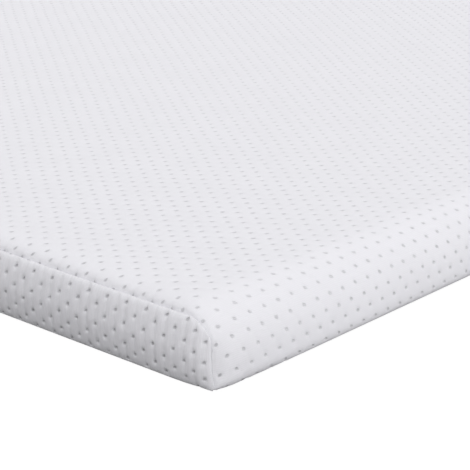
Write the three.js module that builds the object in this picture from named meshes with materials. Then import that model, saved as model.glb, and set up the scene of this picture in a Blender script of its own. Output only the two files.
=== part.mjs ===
// A padded mattress protector for a single bed: one knitted cloth wrapped round the filling, and a panel sewn
// into each end. Millimetres, +X across the width, +Y along the length, +Z up. The origin lies under the centre,
// in the plane that the underside rests on.
import * as THREE from "three";
import { mergeVertices } from "three/addons/utils/BufferGeometryUtils.js";

// Overall size, over the swell of both end panels
const LENGTH = 1900;
const WIDTH = 900;
const THICKNESS = 60;

// The soft long edges: a flattened quarter ellipse above, a smaller one below
const CROWN = 1;
const TOP_EDGE_IN = 40;
const TOP_EDGE_DOWN = 36;
const BOTTOM_EDGE_IN = 16;
const BOTTOM_EDGE_UP = 23;
const EDGE_POWER = 2.35;

// The end seam, which draws the cloth in on all sides
const SEAM_DROP = 8.3;
const SEAM_INSET = 8.2;
const SEAM_FLARE = 2;
const SEAM_RISE = 4;
const SEAM_CORNER_RISE = 2.3;
const SEAM_CORNER_LENGTH = 14;
const SEAM_TOP_RADIUS = 17;
const SEAM_BOTTOM_RADIUS = 1.5;
const SEAM_POWER = 2;
const DRAWN_LENGTH = 19;
const SIDE_EASE = 1.2;
const SIDE_EASE_LENGTH = 120;

// The end panels
const PANEL_THICKNESS = 2;
const PANEL_SWELL = 6;
const PANEL_SWELL_POWER = 1.7;
const PANEL_SWELL_EDGE = 22;
const PANEL_BEVEL = 1.5;
const SEAM_GAP = 0.4;
const BACKING_GAP = 0.6;

// The cloth, the same in the wrap and the panels
const CLOTH_COLOUR = 0xe8e7ec;
const CLOTH_ROUGHNESS = 0.9;

// How finely the faces follow the curves
const FLAT_STEPS = 10;
const TOP_ARC_STEPS = 8;
const BOTTOM_ARC_STEPS = 2;
const SIDE_STEPS = 7;
const DRAWN_STEPS = 7;
const MIDDLE_STEPS = 6;
const MERGE_DISTANCE = 1e-4;

const SEAM_Y = LENGTH / 2 - PANEL_SWELL;

// The turn at which the lower corner passes from the underside to the side
const HALF_CORNER = 0.5;

const mix = THREE.MathUtils.lerp;
const smooth = (value, end) => THREE.MathUtils.smoothstep(value, 0, end);

// How far the cloth has come out of the seam, from 0 in the seam to 1 where it is fully out: a quarter circle
// above and at the sides, and more slowly below, where the weight lies on it
function released(distance) {
  const left = 1 - Math.min(distance / DRAWN_LENGTH, 1);
  return { above: Math.sqrt(1 - left * left), below: 1 - left * left };
}

// The cross-section at a distance from the end seam
function section(distance) {
  const { above: out, below } = released(distance);
  const ease = SIDE_EASE * (1 - smooth(distance, SIDE_EASE_LENGTH));
  return {
    halfWidth: WIDTH / 2 - mix(SEAM_INSET, ease, out),
    top: THICKNESS - CROWN - mix(SEAM_DROP - CROWN, 0, out),
    crown: CROWN * out,
    flare: mix(SEAM_FLARE, 0, out),
    bottom: mix(SEAM_RISE, 0, below),
    cornerRise: mix(SEAM_CORNER_RISE, 0, below),
    topIn: mix(SEAM_TOP_RADIUS, TOP_EDGE_IN, out),
    topDown: mix(SEAM_TOP_RADIUS, TOP_EDGE_DOWN, out),
    bottomIn: mix(SEAM_BOTTOM_RADIUS, BOTTOM_EDGE_IN, out),
    bottomUp: mix(SEAM_BOTTOM_RADIUS, BOTTOM_EDGE_UP, out),
    power: mix(SEAM_POWER, EDGE_POWER, out),
  };
}

// A point of a quarter superellipse: turn 0 is straight out to the side, turn 1 is straight up or down
function quarter(turn, power) {
  const angle = (turn * Math.PI) / 2;
  return [Math.cos(angle) ** (2 / power), Math.sin(angle) ** (2 / power)];
}

// The right half of a cross-section in three runs of [x, z] points: along the underside to the middle of the
// lower corner, from there up the side, and over the upper edge to the middle of the top
function halfRuns(s) {
  const below = [];
  const side = [];
  const above = [];
  const bottomAt = (x) =>
    s.bottom + s.cornerRise * smooth(x - (s.halfWidth - SEAM_CORNER_LENGTH), SEAM_CORNER_LENGTH);
  const flared = s.halfWidth + s.flare;
  const bottomCorner = (turn) => {
    const [out, down] = quarter(turn, s.power);
    const x = flared - s.bottomIn * (1 - out);
    return [x, bottomAt(x) + s.bottomUp * (1 - down)];
  };
  for (let i = 0; i < FLAT_STEPS; i++) {
    const x = (flared - s.bottomIn) * (1 - (1 - i / FLAT_STEPS) ** 2);
    below.push([x, bottomAt(x)]);
  }
  for (let i = 0; i <= TOP_ARC_STEPS; i++)
    below.push(bottomCorner(mix(1, HALF_CORNER, i / TOP_ARC_STEPS)));
  for (let i = 0; i <= BOTTOM_ARC_STEPS; i++)
    side.push(bottomCorner(mix(HALF_CORNER, 0, i / BOTTOM_ARC_STEPS)));
  const low = side[BOTTOM_ARC_STEPS][1];
  const high = s.top - s.topDown;
  for (let i = 1; i <= SIDE_STEPS; i++) {
    const up = i / SIDE_STEPS;
    side.push([s.halfWidth + s.flare * (1 - up) ** 2, mix(low, high, up)]);
  }
  for (let i = 0; i <= TOP_ARC_STEPS; i++) {
    const [out, up] = quarter(i / TOP_ARC_STEPS, s.power);
    above.push([s.halfWidth - s.topIn + s.topIn * out, high + s.topDown * up]);
  }
  for (let i = 1; i <= FLAT_STEPS; i++) {
    const across = 1 - (i / FLAT_STEPS) ** 2;
    const x = (s.halfWidth - s.topIn) * across;
    above.push([x, s.top + s.crown * (1 - across * across)]);
  }
  return { below, side, above };
}

// The four edges of a cross-section, each from left to right or from below to above
function fourEdges(s) {
  const { below, side, above } = halfRuns(s);
  const mirrored = (run) => run.map(([x, z]) => [-x, z]);
  const underside = [...mirrored(below).reverse(), ...below.slice(1)];
  const top = [...mirrored(above), ...above.slice(0, -1).reverse()];
  return { underside, right: side, top, left: mirrored(side) };
}

// The closed outline of a cross-section, anticlockwise seen from the front end
function outline(s) {
  const { underside, right, top, left } = fourEdges(s);
  return [
    ...underside,
    ...right.slice(1),
    ...top.slice(0, -1).reverse(),
    ...left.slice(1, -1).reverse(),
  ];
}

// A grid of points [x, z, share of the height] stretched between the four edges of a cross-section, row by row
// from below. Each row lies at the height share that its ends have on the sides.
function stretchedGrid(s) {
  const { underside, right, top, left } = fourEdges(s);
  const columns = underside.length - 1;
  const [low, high] = [right[0], right.at(-1)];
  return right.map((end, row) => {
    const v = (end[1] - low[1]) / (high[1] - low[1]);
    return underside.map((under, column) => {
      const u = column / columns;
      const sideShift = mix(left[row][0], end[0], u) - mix(-1, 1, u) * mix(low[0], high[0], v);
      return [mix(under[0], top[column][0], v) + sideShift, mix(under[1], top[column][1], v), v];
    });
  });
}

// How far an end panel swells out of the plane of its seam
function swell(s, x, v) {
  const upward = 1 - Math.abs(2 * v - 1) ** PANEL_SWELL_POWER;
  const side = s.halfWidth + s.flare * (1 - v) ** 2;
  const inward = THREE.MathUtils.clamp((side - Math.abs(x)) / PANEL_SWELL_EDGE, 0, 1);
  return PANEL_SWELL * upward * (1 - (1 - inward) ** PANEL_SWELL_POWER);
}

// The points of a swelled face at the front end, drawn together by an inset on every side of the seam and set
// back from the panel's outer face
function swelledFace(inset, setBack) {
  const s = section(0);
  const middle = (s.top + s.bottom) / 2;
  const narrowed = 1 - inset / s.halfWidth;
  const lowered = 1 - inset / (s.top - middle);
  return stretchedGrid(s).map((line) =>
    line.map(([x, z, v]) => {
      const y = -SEAM_Y - swell(s, x, v) + setBack;
      return new THREE.Vector3(x * narrowed, y, middle + (z - middle) * lowered);
    }),
  );
}

// The points on the rim of a grid, in the order of an outline
function rimOf(grid) {
  const last = grid.length - 1;
  const width = grid[0].length - 1;
  return [
    ...grid[0],
    ...grid.slice(1).map((line) => line[width]),
    ...grid[last].slice(0, -1).reverse(),
    ...grid.slice(1, -1).map((line) => line[0]).reverse(),
  ];
}

// Triangles are collected as a list of corner points
function quad(out, a, b, c, d) {
  out.push(a, b, c, a, c, d);
}

function addGrid(out, grid) {
  for (let row = 1; row < grid.length; row++)
    for (let column = 1; column < grid[row].length; column++)
      quad(
        out,
        grid[row - 1][column - 1],
        grid[row - 1][column],
        grid[row][column],
        grid[row][column - 1],
      );
}

// The triangles of a grid, facing the other way
function turnedOver(grid) {
  const facing = [];
  addGrid(facing, grid);
  return facing.reverse();
}

function addBand(out, near, far) {
  near.forEach((point, i) => {
    const next = (i + 1) % near.length;
    quad(out, point, far[i], far[next], near[next]);
  });
}

function solidMesh(name, corners) {
  const geometry = new THREE.BufferGeometry().setFromPoints(corners);
  const merged = mergeVertices(geometry, MERGE_DISTANCE);
  merged.computeVertexNormals();
  const material = new THREE.MeshStandardMaterial({ color: CLOTH_COLOUR, roughness: CLOTH_ROUGHNESS });
  const mesh = new THREE.Mesh(merged, material);
  mesh.name = name;
  return mesh;
}

// The distances from the end seam at which the wrap has a cross-section, close together where it curves
function stations() {
  const list = [];
  for (let i = 0; i < DRAWN_STEPS; i++)
    list.push(DRAWN_LENGTH * (1 - Math.cos((i / DRAWN_STEPS) * (Math.PI / 2))));
  for (let i = 0; i <= MIDDLE_STEPS; i++)
    list.push(mix(DRAWN_LENGTH, SEAM_Y, (i / MIDDLE_STEPS) ** 2));
  return list;
}

// The wrap with its filling: cross-sections from seam to seam, closed at each end by a face that sits behind
// the panel in a shallow rebate
function paddedBody() {
  const corners = [];
  const front = stations();
  const places = [
    ...front.map((distance) => [distance, distance - SEAM_Y]),
    ...front.slice(0, -1).reverse().map((distance) => [distance, SEAM_Y - distance]),
  ];
  const rings = places.map(([distance, y]) =>
    outline(section(distance)).map(([x, z]) => new THREE.Vector3(x, y, z)),
  );
  for (let i = 1; i < rings.length; i++) addBand(corners, rings[i - 1], rings[i]);
  const endFace = swelledFace(PANEL_BEVEL, PANEL_THICKNESS + BACKING_GAP);
  const rebate = rimOf(endFace);
  const end = [];
  addGrid(end, endFace);
  addBand(end, rebate, rings[0]);
  corners.push(...end);
  end.forEach((point) => corners.push(new THREE.Vector3(-point.x, -point.y, point.z)));
  return solidMesh("padded_body", corners);
}

// A panel sewn into an end: a thin sheet that swells out between its seams
function endPanel(name, facesBack) {
  const corners = [];
  const outer = swelledFace(SEAM_GAP, 0);
  const inner = swelledFace(SEAM_GAP + PANEL_BEVEL, PANEL_THICKNESS);
  addGrid(corners, outer);
  corners.push(...turnedOver(inner));
  addBand(corners, rimOf(outer), rimOf(inner));
  const mesh = solidMesh(name, corners);
  if (facesBack) mesh.rotation.z = Math.PI;
  return mesh;
}

const protector = new THREE.Group();
protector.add(paddedBody(), endPanel("end_panel_front", false), endPanel("end_panel_back", true));

export default protector;
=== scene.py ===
import math

import bpy
import numpy as np
from mathutils import Matrix, Vector
from mathutils.geometry import delaunay_2d_cdt


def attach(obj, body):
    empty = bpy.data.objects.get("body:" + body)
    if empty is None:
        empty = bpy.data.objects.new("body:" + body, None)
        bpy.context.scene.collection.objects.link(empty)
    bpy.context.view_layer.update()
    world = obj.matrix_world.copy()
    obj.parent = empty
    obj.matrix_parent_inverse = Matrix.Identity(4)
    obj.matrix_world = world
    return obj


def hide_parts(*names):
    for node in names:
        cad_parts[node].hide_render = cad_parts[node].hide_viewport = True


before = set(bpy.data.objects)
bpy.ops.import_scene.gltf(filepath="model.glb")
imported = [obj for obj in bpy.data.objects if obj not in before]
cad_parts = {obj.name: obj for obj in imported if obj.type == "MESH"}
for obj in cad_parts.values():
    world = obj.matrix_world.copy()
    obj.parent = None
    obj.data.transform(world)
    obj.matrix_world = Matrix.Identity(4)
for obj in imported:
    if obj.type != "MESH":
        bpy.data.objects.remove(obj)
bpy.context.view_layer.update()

# Camera, from the even lattice of dimples in the photograph
SENSOR_WIDTH = 36
FOCAL_LENGTH = 136.26
camera_data = bpy.data.cameras.new("camera")
camera_data.sensor_width = SENSOR_WIDTH
camera_data.lens = FOCAL_LENGTH
camera = bpy.data.objects.new("camera", camera_data)
bpy.context.scene.collection.objects.link(camera)
bpy.context.scene.camera = camera
CAMERA_PLACE = Vector((1.1438, -1.7123, 0.4821))
CAMERA_RIGHT = Vector((0.74727, 0.66446, 0.00256))
CAMERA_UP = Vector((-0.22498, 0.24939, 0.94191))
CAMERA_BACK = CAMERA_RIGHT.cross(CAMERA_UP)
turn = Matrix((CAMERA_RIGHT, CAMERA_UP, CAMERA_BACK)).transposed().to_4x4()
camera.matrix_world = Matrix.Translation(CAMERA_PLACE) @ turn

# Overall size, over the swell of both end panels
LENGTH = 1900
WIDTH = 900
THICKNESS = 60

# The soft long edges: a flattened quarter ellipse above, a smaller one below
CROWN = 1
TOP_EDGE_IN = 40
TOP_EDGE_DOWN = 36
BOTTOM_EDGE_IN = 7
BOTTOM_EDGE_UP = 8
EDGE_POWER = 2.35

# How high the lower edge lies: distances from the end seam, the height there, and over what width it rises
RISE_PLACES = (0, 5, 12, 25, 60, 120, 300)
RISE_THERE = (4.7, 4.9, 4.2, 3.95, 3.97, 4.2, 3.65)
RISE_LENGTH = 30

# The end seam, which draws the cloth in on all sides
SEAM_DROP = 8.3
SEAM_INSET = 8.2
SEAM_FLARE = 2
SEAM_RISE = 3.45
SEAM_TOP_RADIUS = 17
SEAM_BOTTOM_RADIUS = 1
SEAM_POWER = 2
DRAWN_LENGTH = 19
DRAWN_POWER = 2.8
SIDE_EASE = 1.2
SIDE_EASE_LENGTH = 120
PANEL_THICKNESS = 2
PANEL_SWELL = 6
PANEL_SWELL_EDGE = 22
PANEL_ROUND_POWER = 1.6
PANEL_END_POWER = 4
PANEL_RIM_POWER = 8
PANEL_RIM_SHARE = 0.3
SEAM_Y = LENGTH / 2 - PANEL_SWELL

# How finely the sections are worked out: points on each stretch, along the drawn-in curve, and in the table
# of places on the wrap. The table reaches a little further in than the sides are eased. Past the kept girth
# the cloth is stretched a little, so that both halves always meet under the middle.
SECTION_STEPS = 41
DRAWN_STEPS = 401
TABLE_MARGIN = 10
TABLE_ROWS = 261
TABLE_COLUMNS = 1501
KEPT_GIRTH = 470

# The lattice of dimples: every other crossing of evenly spaced lines across and along the cloth
ACROSS = 9.0
ALONG = 6.909
LATTICE_SHIFT = 0.9
LATTICE_SLIP = -0.84
LATTICE_SLANT = 0.0047
EDGE_COLUMN = 47.5
EDGE_STRETCH = 1.2
SIDE_SLIP = -1.9
SIDE_SLIP_START = 430
SIDE_SLIP_REACH = 25
LAST_COLUMN = 54
LAST_ROW = 137
GROOVE_LAST_COLUMN = 46
PIT_RADIUS = 2.3
PIT_DEPTH = 0.75
WRAP_PIT_DEPTH = 0.7
SHALLOW_COLUMN = 52
SHALLOW_COLUMNS = 1.5
RIM_DEPTH = 0.08
RIM_POINTS = 5
RIM_TURN = 0.3
SEAM_MARGIN = 0.7
GROOVE_DEPTH = 1.8
SIDE_GROOVE_DEPTH = 0.3
GROOVE_REACH = 2.5
GROOVE_TURN_TOP = 47
GROOVE_TURN = 20
LOW_GROOVE_DEPTH = 1.0
LOW_GROOVE_TOP = 20
LOW_GROOVE_TURN = 16

# How far the dimples stray from the even lattice: the size, then the slow waves across and along it
UNEVEN = 0.35
UNEVEN_SEED = 11
UNEVEN_SPREAD = 1.4
WANDER_SHARE = 0.6
WANDERS = (((0.37, 0.23, 0), (0.11, -0.29, 1)), ((0.31, -0.19, 2), (0.17, 0.41, 0)))

# How far the end seam pulls the lattice towards itself: places round the cloth and the pull there, then the
# length over which it fades. The lattice is set right in a few rounds, as the pull depends on the place.
PULL_PLACES = (0, 240, 320, 390, 425, 455, 480)
PULL_THERE = (0, 1.8, 3, 4.3, 6.3, 2.4, 0.5)
PULL_LENGTH = 34
PULL_ROUNDS = 6

# How much lower the lattice lies on the sides, near the ends and then further in, and how the seam lifts it
SINK = 6
SINK_START = 450
SINK_REACH = 40
SINK_LENGTH = 60
SEAM_LIFT = 6.5
SEAM_LIFT_START = 435
SEAM_LIFT_LENGTH = 10
DRIFT = -0.01
DRIFT_START = 90
DRIFT_REACH = 240

# The fine stitches of the knit: how wide and how high they are, how far a row arches and how much it shows
WALE = 1.15
COURSE = 0.95
COURSE_ARCH = 2.0
COURSE_SHOWS = 0.3

# Shades of the cloth, and how its unevenness, its stitches and its streaks change them. The streaks are
# painted shade of small folds running down the cloth, strongest on the panels.
CLOTH_SHADE = (0.735, 0.73, 0.765)
# Painted shade: the colour the pits are darkened towards, which stands in for the shade in their hollows
PAINTED_PIT_SHADE = (0.2, 0.2, 0.21)
MOTTLE_SCALE = 30
MOTTLE_DETAIL = 3.0
MOTTLE_SHARE = (0.04, 0.98)
KNIT_SHARE = (0.05, 0.965)
STREAK_STRETCH = (1, 0.12, 0)
STREAK_SCALE = 0.8
WRAP_STREAK_SHADE = 0.03
PANEL_STREAK_SHADE = 0.16
ROUGHNESS = 0.92
SPECULAR = 0.2
SHEEN = 0.12
SHEEN_ROUGHNESS = 0.5

# The pits, which are painted dark as painted shade in their hollows: how they are squeezed sideways, slanted
# and squeezed lengthways, their radius, how soft their edge is, and how strong the painted shade is on the
# top and on the sides. It is darker on the sides and darker still on the panels, which lie more in shade.
# Then how much stronger it is beside the end seam, in the seam's shade, how it varies, how rough the pits'
# edge is, and how wide the soft hollow round them is.
WRAP_PITS = ((1.142, -0.508, 0.985), 1.25, 0.8, (0.24, 0.335))
PANEL_PITS = ((0.95, 0.45, 1.25), 1.2, 0.7, (0.45, 0.45))
SIDE_PIT_SHADE_COLUMNS = (46.0, 53.0)
SEAM_PIT_SHADE_ROWS = (131.5, 136.5)
SEAM_PIT_SHADE = 0.18
PIT_VARIES = (1.6, 0.2)
PIT_EDGE_SCALE = 260
PIT_EDGE_NOISE = (1.0, -0.5)
DIP_RADIUS = 5.0

# Heights of the bump, in millimetres
KNIT_HEIGHT = 0.06
DIP_HEIGHT = -0.25
PIT_HEIGHT = -0.5

# The floor: where it throws back more light, beside the long edge, and less, before the end and close to the
# cloth, where a painted contact shadow darkens it. It lies a hair below the underside.
FLOOR_REACH = 8
FLOOR_CLEARANCE = 0.0001
FLOOR_BESIDE = 0.68
FLOOR_BEFORE_END = 0.12
BESIDE = (-0.65, -0.35)
PAINTED_CONTACT_SHADOW = (-0.002, 0.028)
FLOOR_GLOW = 0.97

# The studio is lit softly and evenly, with more light from low down on the camera's right
LIGHT_EVEN = 1.11
LIGHT_SLOPE = (-0.6, -0.25, 0)
LOW_LIGHT_SLOPE = (2.28, 0.26, 0)

# Where the wrap has more points than its dimples give, in millimetres round from the middle of the top and
# back from the end seam
NET_PITCH = 8
NET_END = 500
UNDERSIDE_COLUMNS = (510, 530, 570, 630, 710, 810)
SEAM_LINES = (0, 0.8, 1.8, 3.0, 4.6)
UNDERSIDE_LINES = (5, 8, 12, 17, 22.3, 40, 80, 130)
UNDERSIDE_PITCH = 100

# More points where the cloth turns round its lower edge: even ones at the ends, in lines beside the seam,
# and wider ones along the length
TURN_FROM = 472.5
TURN_TO = 500
TURN_PITCH = 1.25
TURN_LINES = (7, 10, 14, 19, 25)
TURN_COLUMNS = (476.5, 480.5, 483.5, 486.5, 489.5, 492.5, 496.5)
TURN_ROWS_FROM = 35
TURN_ROW_PITCH = 5

# The panels' own lattice, from their top row and the dimple column nearest the right seam
PANEL_ACROSS = 8.97
PANEL_DOWN = 6.64
PANEL_FIRST_X = 422.5
PANEL_FIRST_Z = 45.64
PANEL_LAST_ROW = 6
PANEL_SAG = 1.7
ROW_SLANT = 0.01
ROW_SLANT_START = 250
CORNER_LIFT = 4.6
CORNER_LIFT_START = 385
CORNER_LIFT_REACH = 55
CORNER_SQUEEZE = 0.14
CORNER_SQUEEZE_START = 424
GAP_HEIGHTS = (10, 30, 42, 50.6, 51.65)
GAP_THERE = (0.12, 0.12, 0.25, 0.65, 0.06)
SEAM_BEVEL = 0.5
BACKING_GAP = 0.6
RIM_ROLL_REACH = 1.8
RIM_ROLL_DEPTH = 0.7
SIDE_ROLL_REACH = 1.1
SIDE_ROLL_DEPTH = 0.23
ROLL_TURN_START = 400
ROLL_TURN = 30
OUTLINE_PITCH = 2
PANEL_PITCH_ACROSS = 1.5
PANEL_PITCH_DOWN = 2
PUCKER_DEPTH = 1.2
PUCKER_WIDTH = 1.6
PUCKER_EVEN = 0.7
PUCKER_VARIED = 0.3
PUCKER_WAVE = 1.7
PUCKER_ROW_WAVE = (1.9, 2.3)
PANEL_LAST_COLUMN = 96
PIT_RINGS = ((1.1, 6), (2.4, 8))
ROLL_LINES = (0.4, 1.0, 1.8, 2.8)
CAP_PITCH = 30
CAP_ROWS = (14, 28, 42)
SIDE_MARGIN = 8
FIELD_MARGIN = 0.5
ROW_TABLE = 200

# Lengths and areas so small that they count as none
TOUCHING = 1e-3
MERGED = 1e-6
NO_AREA = 1e-9


def mix(a, b, share):
    return a + (b - a) * share


def smooth(value):
    value = np.clip(value, 0, 1)
    return value * value * (3 - 2 * value)


# A half section of the wrap at each distance from the end seam: x and z of its points from the middle of the
# top, over the upper edge, down the side, round the lower corner and to the middle of the underside
def half_sections(distance):
    distance = np.asarray(distance, float)[:, None]
    out = 1 - (1 - np.clip(distance / DRAWN_LENGTH, 0, 1)) ** DRAWN_POWER
    ease = SIDE_EASE * (1 - smooth(distance / SIDE_EASE_LENGTH))
    half_width = WIDTH / 2 - mix(SEAM_INSET, ease, out)
    top = THICKNESS - CROWN - mix(SEAM_DROP - CROWN, 0, out)
    crown = CROWN * out
    flare = mix(SEAM_FLARE, 0, out)
    bottom = mix(SEAM_RISE, 0, out)
    edge_rise = np.interp(distance, RISE_PLACES, RISE_THERE) - bottom
    top_in = mix(SEAM_TOP_RADIUS, TOP_EDGE_IN, out)
    top_down = mix(SEAM_TOP_RADIUS, TOP_EDGE_DOWN, out)
    bottom_in = mix(SEAM_BOTTOM_RADIUS, BOTTOM_EDGE_IN, out)
    bottom_up = mix(SEAM_BOTTOM_RADIUS, BOTTOM_EDGE_UP, out)
    power = mix(SEAM_POWER, EDGE_POWER, out)

    def quarter(share):
        angle = share * math.pi / 2
        return np.cos(angle) ** (2 / power), np.sin(angle) ** (2 / power)

    def bottom_at(x):
        return bottom + edge_rise * smooth((x - half_width + RISE_LENGTH) / RISE_LENGTH)

    steps = np.linspace(0, 1, SECTION_STEPS)[None, :]
    x_top = (half_width - top_in) * steps
    z_top = top + crown * (1 - steps**2)
    sideways, upward = quarter(1 - steps)
    high = top - top_down
    x_edge = half_width - top_in + top_in * sideways
    z_edge = high + top_down * upward
    flared = half_width + flare
    low = bottom_at(flared) + bottom_up
    x_side = half_width + flare * steps**2
    z_side = mix(high, low, steps)
    sideways, downward = quarter(steps)
    x_corner = flared - bottom_in * (1 - sideways)
    z_corner = bottom_at(x_corner) + bottom_up * (1 - downward)
    x_under = (flared - bottom_in) * (1 - steps)
    z_under = bottom_at(x_under)
    x = np.concatenate([x_top, x_edge[:, 1:], x_side[:, 1:], x_corner[:, 1:], x_under[:, 1:]], axis=1)
    z = np.concatenate([z_top, z_edge[:, 1:], z_side[:, 1:], z_corner[:, 1:], z_under[:, 1:]], axis=1)
    return x, z


def lengths_along(x, z):
    steps = np.hypot(np.diff(x, axis=1), np.diff(z, axis=1))
    return np.concatenate([np.zeros((len(x), 1)), np.cumsum(steps, axis=1)], axis=1)


# The cloth's own coordinates: how far round from the middle of the top, and how far along from the middle of
# the length. The end is measured over the curve by which the cloth is drawn into the seam.
drawn_from_seam = np.linspace(0, DRAWN_LENGTH, DRAWN_STEPS)
drawn_rise = SEAM_DROP * (1 - (1 - drawn_from_seam / DRAWN_LENGTH) ** DRAWN_POWER)
drawn_lengths = lengths_along(drawn_from_seam[None, :], drawn_rise[None, :])[0]
HALF_LENGTH = SEAM_Y - DRAWN_LENGTH + drawn_lengths[-1]
full_x, full_z = half_sections([SEAM_Y])
HALF_GIRTH = lengths_along(full_x, full_z)[0, -1]


def from_seam(along):
    left = HALF_LENGTH - np.abs(along)
    drawn = np.interp(left, drawn_lengths, drawn_from_seam)
    return np.where(left > drawn_lengths[-1], DRAWN_LENGTH + left - drawn_lengths[-1], drawn)


TABLE_REACH = SIDE_EASE_LENGTH + TABLE_MARGIN
table_left = np.linspace(0, TABLE_REACH, TABLE_ROWS)
table_round = np.linspace(0, HALF_GIRTH, TABLE_COLUMNS)
table_x = np.zeros((len(table_left), len(table_round)))
table_z = np.zeros_like(table_x)
sections = half_sections(from_seam(HALF_LENGTH - table_left))
for row, (x, z) in enumerate(zip(*sections)):
    reach = lengths_along(x[None, :], z[None, :])[0]
    past = np.clip((table_round - KEPT_GIRTH) / (HALF_GIRTH - KEPT_GIRTH), 0, 1)
    at = table_round + (reach[-1] - HALF_GIRTH) * past
    table_x[row] = np.interp(at, reach, x)
    table_z[row] = np.interp(at, reach, z)


# Places on the wrap, in millimetres, from the cloth's own coordinates
def on_wrap(around, along):
    row = np.clip((HALF_LENGTH - np.abs(along)) / TABLE_REACH, 0, 1) * (len(table_left) - 1)
    column = np.clip(np.abs(around) / HALF_GIRTH, 0, 1) * (len(table_round) - 1)
    row_0 = np.minimum(row.astype(int), len(table_left) - 2)
    column_0 = np.minimum(column.astype(int), len(table_round) - 2)
    down, across = row - row_0, column - column_0

    def read(table):
        near = mix(table[row_0, column_0], table[row_0, column_0 + 1], across)
        far = mix(table[row_0 + 1, column_0], table[row_0 + 1, column_0 + 1], across)
        return mix(near, far, down)

    y = np.sign(along) * (SEAM_Y - from_seam(along))
    return np.stack([np.sign(around) * read(table_x), y, read(table_z)], axis=1)


def outward_on_wrap(around, along):
    step = 0.5
    across = on_wrap(around + step, along) - on_wrap(around - step, along)
    lengthways = on_wrap(around, along + step) - on_wrap(around, along - step)
    normal = np.cross(across, lengthways)
    return normal / np.linalg.norm(normal, axis=1, keepdims=True)


# Lattice numbers to the cloth's own coordinates, and back
def around_of(column):
    return ACROSS * column + LATTICE_SHIFT + EDGE_STRETCH * np.sign(column) * np.maximum(
        np.abs(column) - EDGE_COLUMN, 0
    )


def column_of(around):
    flat = around - LATTICE_SHIFT
    edge = EDGE_COLUMN * ACROSS
    past = np.maximum(np.abs(flat) - edge, 0) / (ACROSS + EDGE_STRETCH)
    return np.sign(flat) * (np.minimum(np.abs(flat), edge) / ACROSS + past)


def slip_at(around):
    on_side = smooth((np.abs(around) - SIDE_SLIP_START) / SIDE_SLIP_REACH)
    return LATTICE_SLIP + LATTICE_SLANT * np.clip(around, -WIDTH / 2, WIDTH / 2) + SIDE_SLIP * on_side


def pull_at(around, left):
    there = np.interp(np.abs(around), PULL_PLACES, PULL_THERE)
    return there * np.maximum(1 - (left / PULL_LENGTH) ** 2, 0)


def sink_at(around, left):
    on_side = smooth((np.abs(around) - SINK_START) / SINK_REACH)
    drift = DRIFT * np.clip(left - DRIFT_START, 0, DRIFT_REACH)
    lifted = SEAM_LIFT * smooth((np.abs(around) - SEAM_LIFT_START) / SINK_REACH)
    lifted = lifted * np.exp(-left / SEAM_LIFT_LENGTH)
    return np.sign(around) * (on_side * (SINK * np.exp(-left / SINK_LENGTH) + drift) - lifted)


def cloth_place(column, row):
    even = around_of(column)
    level = ALONG * row + slip_at(even)
    around, along = even, level
    for _ in range(PULL_ROUNDS):
        left = HALF_LENGTH - np.abs(along)
        around = even + sink_at(even, left)
        along = level + np.sign(row) * pull_at(even, left)
    along = np.clip(along, SEAM_MARGIN - HALF_LENGTH, HALF_LENGTH - SEAM_MARGIN)
    return np.stack([around, along], axis=1)


def cloth_numbers(around, along):
    left = HALF_LENGTH - np.abs(along)
    even = around - sink_at(around, left)
    row = (along - np.sign(along) * pull_at(even, left) - slip_at(even)) / ALONG
    return np.stack([column_of(even), row], axis=1)


# Small shifts of the dimples off their even lattice: a slow wander, and a little that differs from each to
# the next
def unevenness(column, row):
    wander = [sum(np.sin(a * column + b * row + c) for a, b, c in waves) for waves in WANDERS]
    each = np.random.default_rng(UNEVEN_SEED).uniform(-1, 1, (len(column), 2))
    return UNEVEN * (WANDER_SHARE * np.stack(wander, axis=1) + each) / UNEVEN_SPREAD


def mesh_object(name, points, faces, corner_cloth, material):
    mesh = bpy.data.meshes.new(name)
    mesh.vertices.add(len(points))
    mesh.vertices.foreach_set("co", (np.asarray(points) / 1000).astype(np.float32).ravel())
    mesh.loops.add(3 * len(faces))
    mesh.loops.foreach_set("vertex_index", np.asarray(faces, np.int32).ravel())
    mesh.polygons.add(len(faces))
    mesh.polygons.foreach_set("loop_start", np.arange(0, 3 * len(faces), 3, dtype=np.int32))
    mesh.polygons.foreach_set("use_smooth", np.ones(len(faces), bool))
    layer = mesh.uv_layers.new(name="cloth")
    layer.uv.foreach_set("vector", np.asarray(corner_cloth, np.float32).ravel())
    mesh.materials.append(material)
    mesh.update(calc_edges=True)
    mesh.validate()
    made = bpy.data.objects.new(name, mesh)
    bpy.context.scene.collection.objects.link(made)
    return made


# Triangles between points in a plane, all facing up. The first points may be an outline that holds the rest.
def triangulated(points, outline_count=0):
    flat = [Vector(point) for point in points]
    outlines = [list(range(outline_count))] if outline_count else []
    faces = np.array(delaunay_2d_cdt(flat, [], outlines, 1 if outline_count else 0, MERGED, False)[2], int)
    a, b, c = (points[faces[:, k]] for k in range(3))
    area = (b[:, 0] - a[:, 0]) * (c[:, 1] - a[:, 1]) - (b[:, 1] - a[:, 1]) * (c[:, 0] - a[:, 0])
    faces[area < 0] = faces[area < 0][:, ::-1]
    kept = np.abs(area) > NO_AREA
    if outline_count:
        across = (faces < outline_count).all(axis=1)
        kept &= ~across | inside_outline(points[faces].mean(axis=1), points[:outline_count])
    return faces[kept]


def inside_outline(points, outline):
    inside = np.zeros(len(points), bool)
    x, y = points.T
    for (x_0, y_0), (x_1, y_1) in zip(outline, np.roll(outline, -1, axis=0)):
        if y_0 != y_1:
            crosses = (y_0 > y) != (y_1 > y)
            inside ^= crosses & (x < x_0 + (y - y_0) * (x_1 - x_0) / (y_1 - y_0))
    return inside


# Every dimple's lattice numbers
def lattice(first_column, last_column, first_row, last_row):
    column, row = np.meshgrid(np.arange(first_column, last_column + 1), np.arange(first_row, last_row + 1))
    kept = (column + row) % 2 == 0
    return column[kept].astype(float), row[kept].astype(float)


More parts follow.
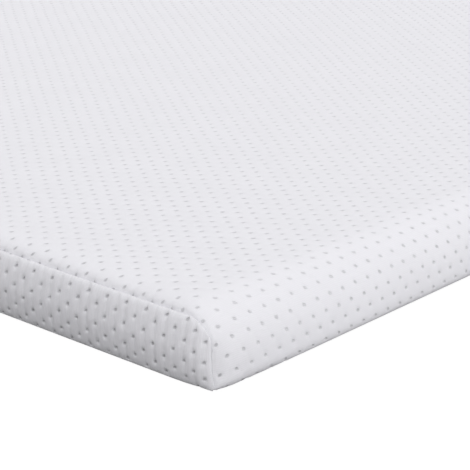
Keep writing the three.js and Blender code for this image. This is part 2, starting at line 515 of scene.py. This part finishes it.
def to_nearest_pit(column, row, across, along):
    best = np.full(np.shape(column), np.inf)
    for start in (0, 1):
        beside = column - start - 2 * np.round((column - start) / 2)
        ahead = row - start - 2 * np.round((row - start) / 2)
        best = np.minimum(best, np.hypot(beside * across, ahead * along))
    return best


# Rings of points round each dimple: their places, and their lattice numbers
def rims(places, numbers, pitch, radius, count):
    angle = RIM_TURN + 2 * math.pi * np.arange(count) / count
    offsets = radius * np.stack([np.cos(angle), np.sin(angle)], axis=1)
    around_each = (places[:, None, :] + offsets).reshape(-1, 2)
    return around_each, (numbers[:, None, :] + offsets / pitch).reshape(-1, 2)


# How far an end panel swells out of the plane of its seam, at points of the front outline
seam_x, seam_z = (line[0] for line in half_sections([0]))
widest = int(np.argmax(seam_x))
SEAM_HALF_WIDTH = WIDTH / 2 - SEAM_INSET
SEAM_MIDDLE = (THICKNESS - SEAM_DROP + SEAM_RISE) / 2
SEAM_HALF_HEIGHT = (THICKNESS - SEAM_DROP - SEAM_RISE) / 2


def swell(x, z):
    over = np.interp(np.abs(x), seam_x[: widest + 1], seam_z[: widest + 1])
    under = np.interp(np.abs(x), seam_x[:widest:-1], seam_z[:widest:-1])
    height = np.clip((z - under) / np.maximum(over - under, 1), 0, 1)
    side = SEAM_HALF_WIDTH + SEAM_FLARE * (1 - height) ** 2
    inward = np.clip((side - np.abs(x)) / PANEL_SWELL_EDGE, 0, 1)

    off_middle = np.abs(2 * height - 1)
    upright = 1 - mix(off_middle**PANEL_ROUND_POWER, off_middle**PANEL_RIM_POWER, PANEL_RIM_SHARE)
    return PANEL_SWELL * upright * (1 - (1 - inward) ** PANEL_END_POWER)


def drawn_together(x, z, inset):
    narrowed = 1 - inset / SEAM_HALF_WIDTH
    lowered = 1 - inset / SEAM_HALF_HEIGHT
    return x * narrowed, SEAM_MIDDLE + (z - SEAM_MIDDLE) * lowered


# Evenly spread points over an end, in even rows
def inside_rows(pitch_x, rows):
    reach = SEAM_HALF_WIDTH - SIDE_MARGIN
    x, height = np.meshgrid(np.arange(-reach, reach + 1, pitch_x), rows)
    return x.ravel(), height.ravel()


# 0 where the end seam runs along the top, 1 where it runs down the sides and along the underside
def beside_seam(z):
    return smooth((GROOVE_TURN_TOP - z) / GROOVE_TURN)


def wrap_with_filling(material):
    column, row = lattice(-LAST_COLUMN, LAST_COLUMN, -LAST_ROW, LAST_ROW)
    shown = (np.abs(row) < LAST_ROW) | (np.abs(column) <= GROOVE_LAST_COLUMN)
    column, row = column[shown], row[shown]
    pit_numbers = np.stack([column, row], axis=1)
    pits = cloth_place(column, row) + unevenness(column, row)
    pits[:, 1] = np.clip(pits[:, 1], SEAM_MARGIN - HALF_LENGTH, HALF_LENGTH - SEAM_MARGIN)
    pit_rims, rim_numbers = rims(pits, pit_numbers, (ACROSS, ALONG), PIT_RADIUS, RIM_POINTS)
    round_net = np.concatenate([np.arange(0, NET_END, NET_PITCH), UNDERSIDE_COLUMNS, [HALF_GIRTH]])
    round_net = np.concatenate([-round_net[:0:-1], round_net])
    underside_net = round_net[np.abs(round_net) > around_of(LAST_COLUMN) + NET_PITCH]
    far_lines = HALF_LENGTH - np.array(UNDERSIDE_LINES)
    middle_lines = np.arange(0, far_lines[-1], UNDERSIDE_PITCH)
    lengthways = np.concatenate([far_lines, middle_lines, -far_lines, -middle_lines[1:]])
    net = [(g, end * (HALF_LENGTH - left)) for end in (-1, 1) for left in SEAM_LINES for g in round_net]
    net = net + [(g, along) for along in lengthways for g in underside_net]
    turn_places = np.arange(TURN_FROM, TURN_TO, TURN_PITCH)
    turn_lines = HALF_LENGTH - np.array(SEAM_LINES + TURN_LINES)
    turn_rows = np.arange(0, HALF_LENGTH - TURN_ROWS_FROM, TURN_ROW_PITCH)
    turned = [(g, along) for along in turn_lines for g in turn_places]
    turned = turned + [(g, along) for along in turn_rows for g in TURN_COLUMNS]
    net = net + [(side * g, end * along) for side in (-1, 1) for end in (-1, 1) for g, along in turned]
    net = np.unique(np.array(net), axis=0)
    clear = to_nearest_pit(*cloth_numbers(*net.T).T, ACROSS, ALONG)
    clear = (clear > PIT_RADIUS + SEAM_MARGIN) | (np.abs(net[:, 1]) > HALF_LENGTH - SEAM_MARGIN / 2)
    net = net[clear | (np.abs(net[:, 0]) > around_of(LAST_COLUMN) + NET_PITCH)]
    dimpled = np.concatenate([pits, pit_rims])
    pit_depth = WRAP_PIT_DEPTH * (1 - smooth((np.abs(column) - SHALLOW_COLUMN) / SHALLOW_COLUMNS))
    depth = np.concatenate([pit_depth, np.full(len(pit_rims), RIM_DEPTH)])
    kept = np.abs(dimpled[:, 1]) < HALF_LENGTH - SEAM_MARGIN / 2
    depth = np.concatenate([depth[kept], np.zeros(len(net))])
    flat = np.concatenate([dimpled[kept], net])
    around, along = flat.T
    height = on_wrap(around, along)[:, 2]
    groove = mix(GROOVE_DEPTH, SIDE_GROOVE_DEPTH, beside_seam(height))
    groove = groove + LOW_GROOVE_DEPTH * smooth((LOW_GROOVE_TOP - height) / LOW_GROOVE_TURN)
    depth = depth + groove * np.exp(-(((HALF_LENGTH - np.abs(along)) / GROOVE_REACH) ** 2))
    faces = triangulated(flat)
    numbers = np.concatenate([np.concatenate([pit_numbers, rim_numbers])[kept], cloth_numbers(*net.T)])
    corner_cloth = numbers[faces].reshape(-1, 2)
    points = on_wrap(around, along) - depth[:, None] * outward_on_wrap(around, along)

    # The two edges of the cut meet under the middle
    partner = np.arange(len(flat))
    edges = [np.where(np.abs(around - side * HALF_GIRTH) < TOUCHING)[0] for side in (-1, 1)]
    left_edge, right_edge = (edge[np.argsort(along[edge])] for edge in edges)
    partner[right_edge] = left_edge
    faces = partner[faces]

    # Each end is closed behind its panel, in a shallow rebate
    for end in (-1, 1):
        at_end = np.abs(along - end * HALF_LENGTH) < TOUCHING
        ring = np.where(at_end & (around < HALF_GIRTH - TOUCHING))[0]
        ring = ring[np.argsort(around[ring])]
        if end > 0:
            ring = ring[::-1]
        x, z = drawn_together(points[ring, 0] * -end, points[ring, 2], SEAM_BEVEL)
        inner_x, inner_z = inside_rows(CAP_PITCH, CAP_ROWS)
        cap = np.stack([np.concatenate([x, inner_x]), np.concatenate([z, inner_z])], axis=1)
        cap_faces = triangulated(cap, len(ring))
        y = -SEAM_Y - swell(cap[:, 0], cap[:, 1]) + PANEL_THICKNESS + BACKING_GAP
        first = len(points)
        points = np.concatenate([points, np.stack([-end * cap[:, 0], -end * y, cap[:, 1]], axis=1)])
        onward = np.roll(np.arange(len(ring)), -1)
        place = np.arange(len(ring))
        walls = [[ring[onward], ring, first + place], [ring[onward], first + place, first + onward]]
        added = np.concatenate([np.stack(wall, axis=1) for wall in walls] + [first + cap_faces])
        faces = np.concatenate([faces, added])
        corner_cloth = np.concatenate([corner_cloth, np.zeros((3 * len(added), 2))])
    return mesh_object("wrap_with_filling", points, faces, corner_cloth, material)


# How much higher the cloth of a panel lies towards its rounded corners
def corner_lift(x):
    near = np.maximum((np.abs(x) - CORNER_LIFT_START) / CORNER_LIFT_REACH, 0)
    return CORNER_LIFT * near**2 + ROW_SLANT * np.maximum(np.abs(x) - ROW_SLANT_START, 0)


def row_height(row):
    sag = PANEL_SAG * np.sin(math.pi * (np.clip(row, 0, PANEL_LAST_ROW) / PANEL_LAST_ROW) ** 2)
    return PANEL_FIRST_Z - PANEL_DOWN * row - sag


def panel_place(column, row):
    x = PANEL_FIRST_X + PANEL_ACROSS * column
    x = x - np.sign(x) * CORNER_SQUEEZE * np.maximum(np.abs(x) - CORNER_SQUEEZE_START, 0)
    return np.stack([x, row_height(row) + corner_lift(x)], axis=1)


def panel_numbers(x, z):
    squeezed = CORNER_SQUEEZE / (1 - CORNER_SQUEEZE) * np.maximum(np.abs(x) - CORNER_SQUEEZE_START, 0)
    column = (x + np.sign(x) * squeezed - PANEL_FIRST_X) / PANEL_ACROSS
    rows = np.linspace(PANEL_LAST_ROW + 2, -2, ROW_TABLE)
    return np.stack([column, np.interp(z - corner_lift(x), row_height(rows), rows)], axis=1)


def to_outline(points, outline):
    best = np.full(len(points), np.inf)
    for start, stop in zip(outline, np.roll(outline, -1, axis=0)):
        step = stop - start
        share = np.clip(((points - start) @ step) / (step @ step), 0, 1)
        away = points - start - share[:, None] * step
        best = np.minimum(best, np.hypot(away[:, 0], away[:, 1]))
    return best


def end_panel(name, end, material):
    x = np.concatenate([seam_x, -seam_x[-2:0:-1]])[::-1]
    z = np.concatenate([seam_z, seam_z[-2:0:-1]])[::-1]
    closed = np.stack([np.append(x, x[0]), np.append(z, z[0])], axis=1)
    run = np.concatenate([[0], np.cumsum(np.hypot(*np.diff(closed, axis=0).T))])
    spots = np.linspace(0, run[-1], int(run[-1] / OUTLINE_PITCH), endpoint=False)
    x, z = (np.interp(spots, run, closed[:, k]) for k in (0, 1))
    gap = np.interp(z, GAP_HEIGHTS, GAP_THERE)
    outline = np.stack(drawn_together(x, z, gap), axis=1)
    rolled = [np.stack(drawn_together(x, z, gap + inset), axis=1) for inset in ROLL_LINES]
    column, row = lattice(-PANEL_LAST_COLUMN, 2, 0, PANEL_LAST_ROW)
    pitch = (PANEL_ACROSS, PANEL_DOWN)
    turned = (PANEL_ACROSS, -PANEL_DOWN)
    pit_numbers = np.stack([column, row], axis=1)
    pits = panel_place(column, row) + unevenness(column, row)
    rings = [(pits, pit_numbers)] + [rims(pits, pit_numbers, turned, *ring) for ring in PIT_RINGS]
    rows = np.arange(SEAM_RISE, THICKNESS - SEAM_DROP, PANEL_PITCH_DOWN)
    field = np.stack(inside_rows(PANEL_PITCH_ACROSS, rows), axis=1)
    field = field[to_nearest_pit(*panel_numbers(*field.T).T, *pitch) > PIT_RINGS[-1][0] + FIELD_MARGIN]
    inner = np.concatenate([place for place, _ in rings] + [field])
    inner_numbers = np.concatenate([number for _, number in rings] + [panel_numbers(*field.T)])
    kept = inside_outline(inner, outline) & (to_outline(inner, outline) > ROLL_LINES[-1] + FIELD_MARGIN)
    border = np.concatenate([outline, *rolled])
    flat = np.concatenate([border, inner[kept]])
    numbers = np.concatenate([panel_numbers(*border.T), inner_numbers[kept]])
    faces = triangulated(flat, len(outline))
    pit = to_nearest_pit(*numbers.T, *pitch)
    on_side = beside_seam(flat[:, 1]) * smooth((np.abs(flat[:, 0]) - ROLL_TURN_START) / ROLL_TURN)
    edge = np.clip(to_outline(flat, outline) / mix(RIM_ROLL_REACH, SIDE_ROLL_REACH, on_side), 0, 1)
    recess = mix(RIM_ROLL_DEPTH, SIDE_ROLL_DEPTH, beside_seam(flat[:, 1])) * (1 - edge) ** 2
    recess = recess + PIT_DEPTH * (1 - smooth(pit / PIT_RADIUS))
    from_column = (numbers[:, 0] - np.round(numbers[:, 0])) * PANEL_ACROSS
    column = np.round(numbers[:, 0])
    by_row, by_column = PUCKER_ROW_WAVE
    deep = PUCKER_DEPTH * (PUCKER_EVEN + PUCKER_VARIED * np.sin(PUCKER_WAVE * column))
    varied = np.sin(by_row * numbers[:, 1] + by_column * column)
    deep = deep * (PUCKER_EVEN + PUCKER_VARIED * varied)
    recess = recess + deep * np.exp(-((from_column / PUCKER_WIDTH) ** 2)) * edge
    front = np.stack([flat[:, 0], -SEAM_Y - swell(*flat.T) + recess, flat[:, 1]], axis=1)

    # The back of the sheet, and its thin edge in the seam
    back_x, back_z = drawn_together(x, z, gap + SEAM_BEVEL)
    inner_x, inner_z = inside_rows(CAP_PITCH, CAP_ROWS)
    behind = np.stack([np.append(back_x, inner_x), np.append(back_z, inner_z)], axis=1)
    back_faces = triangulated(behind, len(outline))[:, ::-1]
    back_y = -SEAM_Y - swell(*behind.T) + PANEL_THICKNESS
    points = np.concatenate([front, np.stack([behind[:, 0], back_y, behind[:, 1]], axis=1)])
    place = np.arange(len(outline))
    onward = np.roll(place, -1)
    first = len(front)
    walls = [[place, first + place, first + onward], [place, first + onward, onward]]
    walls = np.concatenate([np.stack(wall, axis=1) for wall in walls])
    faces = np.concatenate([faces, first + back_faces, walls])
    numbers = np.concatenate([numbers, panel_numbers(*behind.T)])
    if end > 0:
        points = points * (-1, -1, 1)
    return mesh_object(name, points, faces, numbers[faces].reshape(-1, 2), material)


def add_node(tree, kind, **settings):
    made = tree.nodes.new(kind)
    for name, value in settings.items():
        setattr(made, name, value)
    return made


# Gives a node's input a value or another node's output
def feed(tree, socket, value):
    if isinstance(value, bpy.types.NodeSocket):
        tree.links.new(value, socket)
    else:
        socket.default_value = value


def calculate(tree, operation, *values, vector=False):
    made = add_node(tree, "ShaderNodeVectorMath" if vector else "ShaderNodeMath", operation=operation)
    for socket, value in zip(made.inputs, values):
        feed(tree, socket, value)
    lengthy = operation in ("LENGTH", "DISTANCE", "DOT_PRODUCT")
    return made.outputs["Value" if not vector or lengthy else "Vector"]


def eased(tree, value, start, stop):
    made = add_node(tree, "ShaderNodeMapRange", interpolation_type="SMOOTHSTEP")
    for socket, given in zip(made.inputs, (value, start, stop, 0.0, 1.0)):
        feed(tree, socket, given)
    return made.outputs["Result"]


def noise(tree, place, scale, detail=2.0):
    made = add_node(tree, "ShaderNodeTexNoise")
    feed(tree, made.inputs["Vector"], place)
    made.inputs["Scale"].default_value = scale
    made.inputs["Detail"].default_value = detail
    return made.outputs["Fac"]


# The dimpled knit as masks over the cloth: Pit is 1 in the small pits, which the material darkens as painted
# shade, Dip is the soft hollow round each, Knit is the fine rows of stitches, Mottle is slight unevenness
# from place to place and Streak Shade is painted shade of small folds that run with the cloth
def dimpled_knit_group():
    tree = bpy.data.node_groups.new("dimpled_knit", "ShaderNodeTree")
    sockets = tree.interface
    sockets.new_socket("Cloth", in_out="INPUT", socket_type="NodeSocketVector")
    for name in ("Pit Sideways", "Pit Lengthways"):
        sockets.new_socket(name, in_out="INPUT", socket_type="NodeSocketVector")
    for name in ("Across", "Along", "Pit Radius", "Pit Edge", "Dip Radius"):
        sockets.new_socket(name, in_out="INPUT", socket_type="NodeSocketFloat")
    for name in ("Pit", "Dip", "Knit", "Mottle", "Streaks"):
        sockets.new_socket(name, in_out="OUTPUT", socket_type="NodeSocketFloat")
    given = add_node(tree, "NodeGroupInput").outputs
    place = add_node(tree, "ShaderNodeTexCoord").outputs["Object"]
    pitch = add_node(tree, "ShaderNodeCombineXYZ")
    feed(tree, pitch.inputs[0], given["Across"])
    feed(tree, pitch.inputs[1], given["Along"])
    lengths = []
    for start in (0, 1):
        moved = calculate(tree, "SUBTRACT", given["Cloth"], (start, start, 0), vector=True)
        wrapped = calculate(tree, "WRAP", moved, (1, 1, 1), (-1, -1, -1), vector=True)
        flat = calculate(tree, "MULTIPLY", wrapped, pitch.outputs[0], vector=True)
        shaped = add_node(tree, "ShaderNodeCombineXYZ")
        for socket, name in zip(shaped.inputs, ("Pit Sideways", "Pit Lengthways")):
            feed(tree, socket, calculate(tree, "DOT_PRODUCT", flat, given[name], vector=True))
        lengths.append(calculate(tree, "LENGTH", shaped.outputs[0], vector=True))
    nearest = calculate(tree, "MINIMUM", *lengths)
    uneven = calculate(tree, "MULTIPLY_ADD", noise(tree, place, PIT_EDGE_SCALE), *PIT_EDGE_NOISE)
    rough_edge = calculate(tree, "ADD", nearest, uneven)
    inner = calculate(tree, "SUBTRACT", given["Pit Radius"], given["Pit Edge"])
    outer = calculate(tree, "ADD", given["Pit Radius"], given["Pit Edge"])
    stitches = calculate(tree, "MULTIPLY", given["Cloth"], pitch.outputs[0], vector=True)
    split = add_node(tree, "ShaderNodeSeparateXYZ")
    feed(tree, split.inputs[0], stitches)
    wale = calculate(tree, "SINE", calculate(tree, "MULTIPLY", split.outputs[0], math.pi / WALE))
    wale = calculate(tree, "ABSOLUTE", wale)
    course = calculate(tree, "MULTIPLY", split.outputs[1], 2 * math.pi / COURSE)
    arched = calculate(tree, "MULTIPLY", wale, COURSE_ARCH)
    course = calculate(tree, "SINE", calculate(tree, "ADD", course, arched))
    course = calculate(tree, "MULTIPLY_ADD", course, COURSE_SHOWS, 1 - COURSE_SHOWS)
    knit = calculate(tree, "MULTIPLY", wale, course)
    stretched = calculate(tree, "MULTIPLY", stitches, STREAK_STRETCH, vector=True)
    made = add_node(tree, "NodeGroupOutput").inputs
    feed(tree, made["Pit"], eased(tree, rough_edge, outer, inner))
    feed(tree, made["Dip"], eased(tree, nearest, given["Dip Radius"], 0.0))
    feed(tree, made["Knit"], knit)
    feed(tree, made["Mottle"], noise(tree, place, MOTTLE_SCALE, MOTTLE_DETAIL))
    feed(tree, made["Streaks"], noise(tree, stretched, STREAK_SCALE))
    return tree


def cloth_material(name, group, pitch, pits, streak_shade):
    (sideways, slant, lengthways), pit_radius, pit_edge, (top_pit_shade, side_pit_shade) = pits
    material = bpy.data.materials.new(name)
    material.use_nodes = True
    tree = material.node_tree
    shader = tree.nodes["Principled BSDF"]
    cloth = add_node(tree, "ShaderNodeUVMap", uv_map="cloth").outputs["UV"]
    knit = add_node(tree, "ShaderNodeGroup", node_tree=group)
    feed(tree, knit.inputs["Cloth"], cloth)
    given = (*pitch, pit_radius, pit_edge, DIP_RADIUS)
    for socket, value in zip(("Across", "Along", "Pit Radius", "Pit Edge", "Dip Radius"), given):
        knit.inputs[socket].default_value = value
    knit.inputs["Pit Sideways"].default_value = (sideways, 0, 0)
    knit.inputs["Pit Lengthways"].default_value = (slant, lengthways, 0)
    colour = add_node(tree, "ShaderNodeMix", data_type="RGBA")
    colour.inputs["A"].default_value = (*CLOTH_SHADE, 1)
    colour.inputs["B"].default_value = (*PAINTED_PIT_SHADE, 1)
    split = add_node(tree, "ShaderNodeSeparateXYZ")
    feed(tree, split.inputs[0], cloth)
    # Painted shade in the pits. It is darker on the sides and beside the end seam, where they lie more in
    # shade.
    on_side = eased(tree, calculate(tree, "ABSOLUTE", split.outputs[0]), *SIDE_PIT_SHADE_COLUMNS)
    pit_shade = calculate(tree, "MULTIPLY_ADD", on_side, side_pit_shade - top_pit_shade, top_pit_shade)
    near_seam = eased(tree, calculate(tree, "ABSOLUTE", split.outputs[1]), *SEAM_PIT_SHADE_ROWS)
    pit_shade = calculate(tree, "MULTIPLY_ADD", near_seam, SEAM_PIT_SHADE, pit_shade)
    varied = calculate(tree, "MULTIPLY_ADD", knit.outputs["Mottle"], *PIT_VARIES)
    pit_shade = calculate(tree, "MULTIPLY", pit_shade, varied)
    feed(tree, colour.inputs["Factor"], calculate(tree, "MULTIPLY", knit.outputs["Pit"], pit_shade))
    uneven = calculate(tree, "MULTIPLY_ADD", knit.outputs["Mottle"], *MOTTLE_SHARE)
    stitched = calculate(tree, "MULTIPLY_ADD", knit.outputs["Knit"], *KNIT_SHARE)
    # Painted shade of small folds, in streaks down the cloth, much stronger on the panels
    streak_shaded = calculate(tree, "MULTIPLY_ADD", knit.outputs["Streaks"], streak_shade, 1 - streak_shade / 2)
    lightness = calculate(tree, "MULTIPLY", calculate(tree, "MULTIPLY", uneven, stitched), streak_shaded)
    lit = calculate(tree, "SCALE", colour.outputs["Result"], vector=True)
    feed(tree, lit.node.inputs["Scale"], lightness)
    feed(tree, shader.inputs["Base Color"], lit)
    shader.inputs["Roughness"].default_value = ROUGHNESS
    shader.inputs["Specular IOR Level"].default_value = SPECULAR
    shader.inputs["Sheen Weight"].default_value = SHEEN
    shader.inputs["Sheen Roughness"].default_value = SHEEN_ROUGHNESS
    height = calculate(tree, "MULTIPLY", knit.outputs["Knit"], KNIT_HEIGHT)
    height = calculate(tree, "MULTIPLY_ADD", knit.outputs["Dip"], DIP_HEIGHT, height)
    height = calculate(tree, "MULTIPLY_ADD", knit.outputs["Pit"], PIT_HEIGHT, height)
    bump = add_node(tree, "ShaderNodeBump")
    bump.inputs["Distance"].default_value = 0.001
    feed(tree, bump.inputs["Height"], height)
    feed(tree, shader.inputs["Normal"], bump.outputs["Normal"])
    return material


knit_group = dimpled_knit_group()
wrap_cloth = cloth_material("wrap_cloth", knit_group, (ACROSS, ALONG), WRAP_PITS, WRAP_STREAK_SHADE)
panel_cloth = cloth_material(
    "panel_cloth", knit_group, (PANEL_ACROSS, PANEL_DOWN), PANEL_PITS, PANEL_STREAK_SHADE
)

wrap = wrap_with_filling(wrap_cloth)
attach(wrap, "root")
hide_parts("padded_body")
for panel_name, panel_end, node in (
    ("front_end_panel", -1, "end_panel_front"),
    ("back_end_panel", 1, "end_panel_back"),
):
    panel = end_panel(panel_name, panel_end, panel_cloth)
    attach(panel, "root")
    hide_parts(node)

# Floor. The camera sees it evenly pale, and not at all from below.
floor_mesh = bpy.data.meshes.new("floor")
floor_corners = [(x * FLOOR_REACH, y * FLOOR_REACH, 0) for x, y in ((-1, -1), (1, -1), (1, 1), (-1, 1))]
floor_mesh.from_pydata(floor_corners, [], [(0, 1, 2, 3)])
floor = bpy.data.objects.new("floor", floor_mesh)
floor.location.z = -FLOOR_CLEARANCE
bpy.context.scene.collection.objects.link(floor)
floor_material = bpy.data.materials.new("pale_floor")
floor_material.use_nodes = True
floor_tree = floor_material.node_tree
floor_shader = floor_tree.nodes["Principled BSDF"]
floor_place = add_node(floor_tree, "ShaderNodeTexCoord").outputs["Object"]
beside = calculate(floor_tree, "DOT_PRODUCT", floor_place, (1, 1, 0), vector=True)
beside = eased(floor_tree, beside, *BESIDE)
apart = add_node(floor_tree, "ShaderNodeSeparateXYZ")
feed(floor_tree, apart.inputs[0], calculate(floor_tree, "ABSOLUTE", floor_place, vector=True))
apart_x = calculate(floor_tree, "SUBTRACT", apart.outputs[0], WIDTH / 2 / 1000)
apart_y = calculate(floor_tree, "SUBTRACT", apart.outputs[1], LENGTH / 2 / 1000)
# Painted contact shadow: the floor is darker close to the cloth, so it throws back less light onto the lower
# edges
clear = eased(floor_tree, calculate(floor_tree, "MAXIMUM", apart_x, apart_y), *PAINTED_CONTACT_SHADOW)
beside = calculate(floor_tree, "MULTIPLY", beside, clear)
floor_colour = add_node(floor_tree, "ShaderNodeMix", data_type="RGBA")
feed(floor_tree, floor_colour.inputs["Factor"], beside)
floor_colour.inputs["A"].default_value = (*[FLOOR_BEFORE_END] * 3, 1)
floor_colour.inputs["B"].default_value = (*[FLOOR_BESIDE] * 3, 1)
feed(floor_tree, floor_shader.inputs["Base Color"], floor_colour.outputs["Result"])
floor_shader.inputs["Roughness"].default_value = 1
floor_shader.inputs["Specular IOR Level"].default_value = 0
floor_shader.inputs["Emission Color"].default_value = (1, 1, 1, 1)
seen = add_node(floor_tree, "ShaderNodeLightPath").outputs["Is Camera Ray"]
glow = calculate(floor_tree, "MULTIPLY", seen, FLOOR_GLOW)
feed(floor_tree, floor_shader.inputs["Emission Strength"], glow)
floor_output = floor_tree.nodes["Material Output"]
from_below = add_node(floor_tree, "ShaderNodeMixShader")
turned_away = add_node(floor_tree, "ShaderNodeNewGeometry").outputs["Backfacing"]
passed = add_node(floor_tree, "ShaderNodeLightPath").outputs["Transparent Depth"]
hidden = calculate(floor_tree, "MINIMUM", calculate(floor_tree, "ADD", turned_away, passed), 1.0)
feed(floor_tree, from_below.inputs[0], hidden)
feed(floor_tree, from_below.inputs[1], floor_shader.outputs[0])
feed(floor_tree, from_below.inputs[2], add_node(floor_tree, "ShaderNodeBsdfTransparent").outputs[0])
feed(floor_tree, floor_output.inputs["Surface"], from_below.outputs[0])
floor_mesh.materials.append(floor_material)

# Light, and the pale studio that the camera sees behind
world = bpy.data.worlds.new("studio")
world.use_nodes = True
world_tree = world.node_tree
background = world_tree.nodes["Background"]
background.inputs["Color"].default_value = (1, 1, 1, 1)
direction = add_node(world_tree, "ShaderNodeTexCoord").outputs["Generated"]
slope = calculate(world_tree, "DOT_PRODUCT", direction, LIGHT_SLOPE, vector=True)
low_slope = calculate(world_tree, "DOT_PRODUCT", direction, LOW_LIGHT_SLOPE, vector=True)
height = add_node(world_tree, "ShaderNodeSeparateXYZ")
feed(world_tree, height.inputs[0], direction)
low_down = calculate(world_tree, "SUBTRACT", 1.0, calculate(world_tree, "ABSOLUTE", height.outputs[2]))
low_down = calculate(world_tree, "MULTIPLY", low_down, low_down)
brightness = calculate(world_tree, "MULTIPLY_ADD", low_slope, low_down, slope)
brightness = calculate(world_tree, "MAXIMUM", calculate(world_tree, "ADD", brightness, LIGHT_EVEN), 0.0)
feed(world_tree, background.inputs["Strength"], brightness)
pale = add_node(world_tree, "ShaderNodeBackground")
pale.inputs["Color"].default_value = (1, 1, 1, 1)
behind = add_node(world_tree, "ShaderNodeMixShader")
feed(world_tree, behind.inputs[0], add_node(world_tree, "ShaderNodeLightPath").outputs["Is Camera Ray"])
feed(world_tree, behind.inputs[1], background.outputs[0])
feed(world_tree, behind.inputs[2], pale.outputs[0])
feed(world_tree, world_tree.nodes["World Output"].inputs["Surface"], behind.outputs[0])
bpy.context.scene.world = world
bpy.context.scene.view_settings.view_transform = "Standard"
